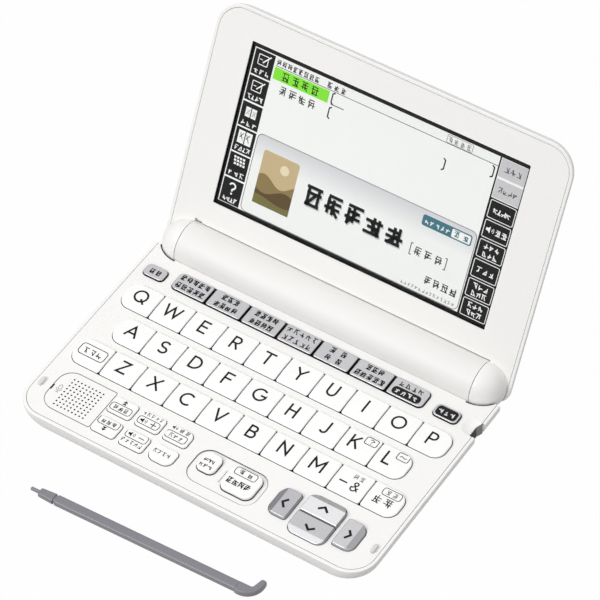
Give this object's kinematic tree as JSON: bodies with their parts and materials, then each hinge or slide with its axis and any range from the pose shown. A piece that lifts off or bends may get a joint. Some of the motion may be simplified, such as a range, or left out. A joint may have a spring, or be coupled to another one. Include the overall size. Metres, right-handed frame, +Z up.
{
  "type": "electronic dictionary",
  "caption": "Pocket electronic dictionary: white keyboard base, battery barrel along the back that carries a hinged touch-screen lid, sprung keys, and a hooked stylus lying in front.",
  "frame": {"origin": "on the table, under the middle of the closed footprint of base and lid; the flat underside of the base is 0.6 mm above it, because the feet stand out by that much", "axes": "+X to the user's right along the hinge, +Y away from the user, +Z up; stored with the lid open at 118.7 degrees and the stylus lying on the table in front"},
  "size_m": [0.148, 0.1691, 0.0924],
  "materials": {
    "white_shell": "satin warm white moulding",
    "pearl_barrel": "pearly white moulding, a little glossier than the shell",
    "steel": "plain",
    "cable_skin": "matt",
    "cell_can": "printed sleeve over a metal can",
    "circuit_board": "solder mask",
    "dome_film": "clear film over printed contacts",
    "speaker_frame": "matt",
    "sleeve_plastic": "plain",
    "foot_rubber": "matt",
    "clear_rest": "translucent",
    "white_key": "satin",
    "silver_key": "silver paint under a clear coat",
    "black_ink": "printed key legends and deck marks",
    "display_module": "lit display behind the touch panel",
    "touch_glass": "clear",
    "grey_plastic": "satin"
  },
  "bodies": {
    "base": {"lower_case": "white_shell", "upper_case": "white_shell", "hinge_barrel": "pearl_barrel", "hinge_pins": "steel", "display_cable": "cable_skin", "batteries": "cell_can", "battery_contacts": "steel", "main_board": "circuit_board", "dome_sheet": "dome_film", "speaker": "speaker_frame", "stylus_sleeve": "sleeve_plastic", "rubber_feet": "foot_rubber", "case_screws": "steel", "deck_bumpers": "clear_rest", "side_ports": "steel", "function_keys": "silver_key", "small_keys": "white_key"},
    "lid": {"lid_bezel": "white_shell", "lid_back_cover": "white_shell", "lcd_module": "display_module", "touch_panel": "touch_glass"},
    "battery_cover": {"battery_door": "pearl_barrel"},
    "stylus": {"stylus": "grey_plastic"},
    "key_q": {"key_q": "white_key"},
    "key_w": {"key_w": "white_key"},
    "key_e": {"key_e": "white_key"},
    "key_r": {"key_r": "white_key"},
    "key_t": {"key_t": "white_key"},
    "key_y": {"key_y": "white_key"},
    "key_u": {"key_u": "white_key"},
    "key_i": {"key_i": "white_key"},
    "key_o": {"key_o": "white_key"},
    "key_p": {"key_p": "white_key"},
    "key_a": {"key_a": "white_key"},
    "key_s": {"key_s": "white_key"},
    "key_d": {"key_d": "white_key"},
    "key_f": {"key_f": "white_key"},
    "key_g": {"key_g": "white_key"},
    "key_h": {"key_h": "white_key"},
    "key_j": {"key_j": "white_key"},
    "key_k": {"key_k": "white_key"},
    "key_l": {"key_l": "white_key"},
    "key_shift": {"key_shift": "white_key"},
    "key_z": {"key_z": "white_key"},
    "key_x": {"key_x": "white_key"},
    "key_c": {"key_c": "white_key"},
    "key_v": {"key_v": "white_key"},
    "key_b": {"key_b": "white_key"},
    "key_n": {"key_n": "white_key"},
    "key_m": {"key_m": "white_key"},
    "key_minus": {"key_minus": "white_key"},
    "key_delete": {"key_delete": "white_key"},
    "key_power": {"key_power": "silver_key"},
    "key_home": {"key_home": "silver_key"},
    "key_back": {"key_back": "white_key"},
    "key_enter": {"key_enter": "white_key"},
    "key_left": {"key_left": "silver_key"},
    "key_up": {"key_up": "silver_key"},
    "key_down": {"key_down": "silver_key"},
    "key_right": {"key_right": "silver_key"}
  },
  "joints": [
    {"name": "lid_hinge", "type": "hinge", "parent": "base", "child": "lid", "pos_m": [0, 0.04295, 0.0101], "axis": [1, 0, 0], "range_deg": [-21.3, 118.7]},
    {"name": "battery_cover_slide", "type": "slide", "parent": "base", "child": "battery_cover", "axis": [0, 1, 0], "range_m": [0, 0.013]},
    {"name": "stylus_lift", "type": "slide", "parent": "base", "child": "stylus", "axis": [0, 0, 1], "range_m": [0, 0.03]},
    {"name": "key_q_press", "type": "slide", "parent": "base", "child": "key_q", "axis": [0, 0, -1], "range_m": [0, 0.0006], "stiffness_N_per_m": 1500, "springref_m": -0.0004},
    {"name": "key_w_press", "type": "slide", "parent": "base", "child": "key_w", "axis": [0, 0, -1], "range_m": [0, 0.0006], "stiffness_N_per_m": 1500, "springref_m": -0.0004},
    {"name": "key_e_press", "type": "slide", "parent": "base", "child": "key_e", "axis": [0, 0, -1], "range_m": [0, 0.0006], "stiffness_N_per_m": 1500, "springref_m": -0.0004},
    {"name": "key_r_press", "type": "slide", "parent": "base", "child": "key_r", "axis": [0, 0, -1], "range_m": [0, 0.0006], "stiffness_N_per_m": 1500, "springref_m": -0.0004},
    {"name": "key_t_press", "type": "slide", "parent": "base", "child": "key_t", "axis": [0, 0, -1], "range_m": [0, 0.0006], "stiffness_N_per_m": 1500, "springref_m": -0.0004},
    {"name": "key_y_press", "type": "slide", "parent": "base", "child": "key_y", "axis": [0, 0, -1], "range_m": [0, 0.0006], "stiffness_N_per_m": 1500, "springref_m": -0.0004},
    {"name": "key_u_press", "type": "slide", "parent": "base", "child": "key_u", "axis": [0, 0, -1], "range_m": [0, 0.0006], "stiffness_N_per_m": 1500, "springref_m": -0.0004},
    {"name": "key_i_press", "type": "slide", "parent": "base", "child": "key_i", "axis": [0, 0, -1], "range_m": [0, 0.0006], "stiffness_N_per_m": 1500, "springref_m": -0.0004},
    {"name": "key_o_press", "type": "slide", "parent": "base", "child": "key_o", "axis": [0, 0, -1], "range_m": [0, 0.0006], "stiffness_N_per_m": 1500, "springref_m": -0.0004},
    {"name": "key_p_press", "type": "slide", "parent": "base", "child": "key_p", "axis": [0, 0, -1], "range_m": [0, 0.0006], "stiffness_N_per_m": 1500, "springref_m": -0.0004},
    {"name": "key_a_press", "type": "slide", "parent": "base", "child": "key_a", "axis": [0, 0, -1], "range_m": [0, 0.0006], "stiffness_N_per_m": 1500, "springref_m": -0.0004},
    {"name": "key_s_press", "type": "slide", "parent": "base", "child": "key_s", "axis": [0, 0, -1], "range_m": [0, 0.0006], "stiffness_N_per_m": 1500, "springref_m": -0.0004},
    {"name": "key_d_press", "type": "slide", "parent": "base", "child": "key_d", "axis": [0, 0, -1], "range_m": [0, 0.0006], "stiffness_N_per_m": 1500, "springref_m": -0.0004},
    {"name": "key_f_press", "type": "slide", "parent": "base", "child": "key_f", "axis": [0, 0, -1], "range_m": [0, 0.0006], "stiffness_N_per_m": 1500, "springref_m": -0.0004},
    {"name": "key_g_press", "type": "slide", "parent": "base", "child": "key_g", "axis": [0, 0, -1], "range_m": [0, 0.0006], "stiffness_N_per_m": 1500, "springref_m": -0.0004},
    {"name": "key_h_press", "type": "slide", "parent": "base", "child": "key_h", "axis": [0, 0, -1], "range_m": [0, 0.0006], "stiffness_N_per_m": 1500, "springref_m": -0.0004},
    {"name": "key_j_press", "type": "slide", "parent": "base", "child": "key_j", "axis": [0, 0, -1], "range_m": [0, 0.0006], "stiffness_N_per_m": 1500, "springref_m": -0.0004},
    {"name": "key_k_press", "type": "slide", "parent": "base", "child": "key_k", "axis": [0, 0, -1], "range_m": [0, 0.0006], "stiffness_N_per_m": 1500, "springref_m": -0.0004},
    {"name": "key_l_press", "type": "slide", "parent": "base", "child": "key_l", "axis": [0, 0, -1], "range_m": [0, 0.0006], "stiffness_N_per_m": 1500, "springref_m": -0.0004},
    {"name": "key_shift_press", "type": "slide", "parent": "base", "child": "key_shift", "axis": [0, 0, -1], "range_m": [0, 0.0006], "stiffness_N_per_m": 1500, "springref_m": -0.0004},
    {"name": "key_z_press", "type": "slide", "parent": "base", "child": "key_z", "axis": [0, 0, -1], "range_m": [0, 0.0006], "stiffness_N_per_m": 1500, "springref_m": -0.0004},
    {"name": "key_x_press", "type": "slide", "parent": "base", "child": "key_x", "axis": [0, 0, -1], "range_m": [0, 0.0006], "stiffness_N_per_m": 1500, "springref_m": -0.0004},
    {"name": "key_c_press", "type": "slide", "parent": "base", "child": "key_c", "axis": [0, 0, -1], "range_m": [0, 0.0006], "stiffness_N_per_m": 1500, "springref_m": -0.0004},
    {"name": "key_v_press", "type": "slide", "parent": "base", "child": "key_v", "axis": [0, 0, -1], "range_m": [0, 0.0006], "stiffness_N_per_m": 1500, "springref_m": -0.0004},
    {"name": "key_b_press", "type": "slide", "parent": "base", "child": "key_b", "axis": [0, 0, -1], "range_m": [0, 0.0006], "stiffness_N_per_m": 1500, "springref_m": -0.0004},
    {"name": "key_n_press", "type": "slide", "parent": "base", "child": "key_n", "axis": [0, 0, -1], "range_m": [0, 0.0006], "stiffness_N_per_m": 1500, "springref_m": -0.0004},
    {"name": "key_m_press", "type": "slide", "parent": "base", "child": "key_m", "axis": [0, 0, -1], "range_m": [0, 0.0006], "stiffness_N_per_m": 1500, "springref_m": -0.0004},
    {"name": "key_minus_press", "type": "slide", "parent": "base", "child": "key_minus", "axis": [0, 0, -1], "range_m": [0, 0.0006], "stiffness_N_per_m": 1500, "springref_m": -0.0004},
    {"name": "key_delete_press", "type": "slide", "parent": "base", "child": "key_delete", "axis": [0, 0, -1], "range_m": [0, 0.0006], "stiffness_N_per_m": 1500, "springref_m": -0.0004},
    {"name": "key_power_press", "type": "slide", "parent": "base", "child": "key_power", "axis": [0, 0, -1], "range_m": [0, 0.0006], "stiffness_N_per_m": 1500, "springref_m": -0.0004},
    {"name": "key_home_press", "type": "slide", "parent": "base", "child": "key_home", "axis": [0, 0, -1], "range_m": [0, 0.0006], "stiffness_N_per_m": 1500, "springref_m": -0.0004},
    {"name": "key_back_press", "type": "slide", "parent": "base", "child": "key_back", "axis": [0, 0, -1], "range_m": [0, 0.0006], "stiffness_N_per_m": 1500, "springref_m": -0.0004},
    {"name": "key_enter_press", "type": "slide", "parent": "base", "child": "key_enter", "axis": [0, 0, -1], "range_m": [0, 0.0006], "stiffness_N_per_m": 1500, "springref_m": -0.0004},
    {"name": "key_left_press", "type": "slide", "parent": "base", "child": "key_left", "axis": [0, 0, -1], "range_m": [0, 0.0006], "stiffness_N_per_m": 1500, "springref_m": -0.0004},
    {"name": "key_up_press", "type": "slide", "parent": "base", "child": "key_up", "axis": [0, 0, -1], "range_m": [0, 0.0006], "stiffness_N_per_m": 1500, "springref_m": -0.0004},
    {"name": "key_down_press", "type": "slide", "parent": "base", "child": "key_down", "axis": [0, 0, -1], "range_m": [0, 0.0006], "stiffness_N_per_m": 1500, "springref_m": -0.0004},
    {"name": "key_right_press", "type": "slide", "parent": "base", "child": "key_right", "axis": [0, 0, -1], "range_m": [0, 0.0006], "stiffness_N_per_m": 1500, "springref_m": -0.0004}
  ]
}
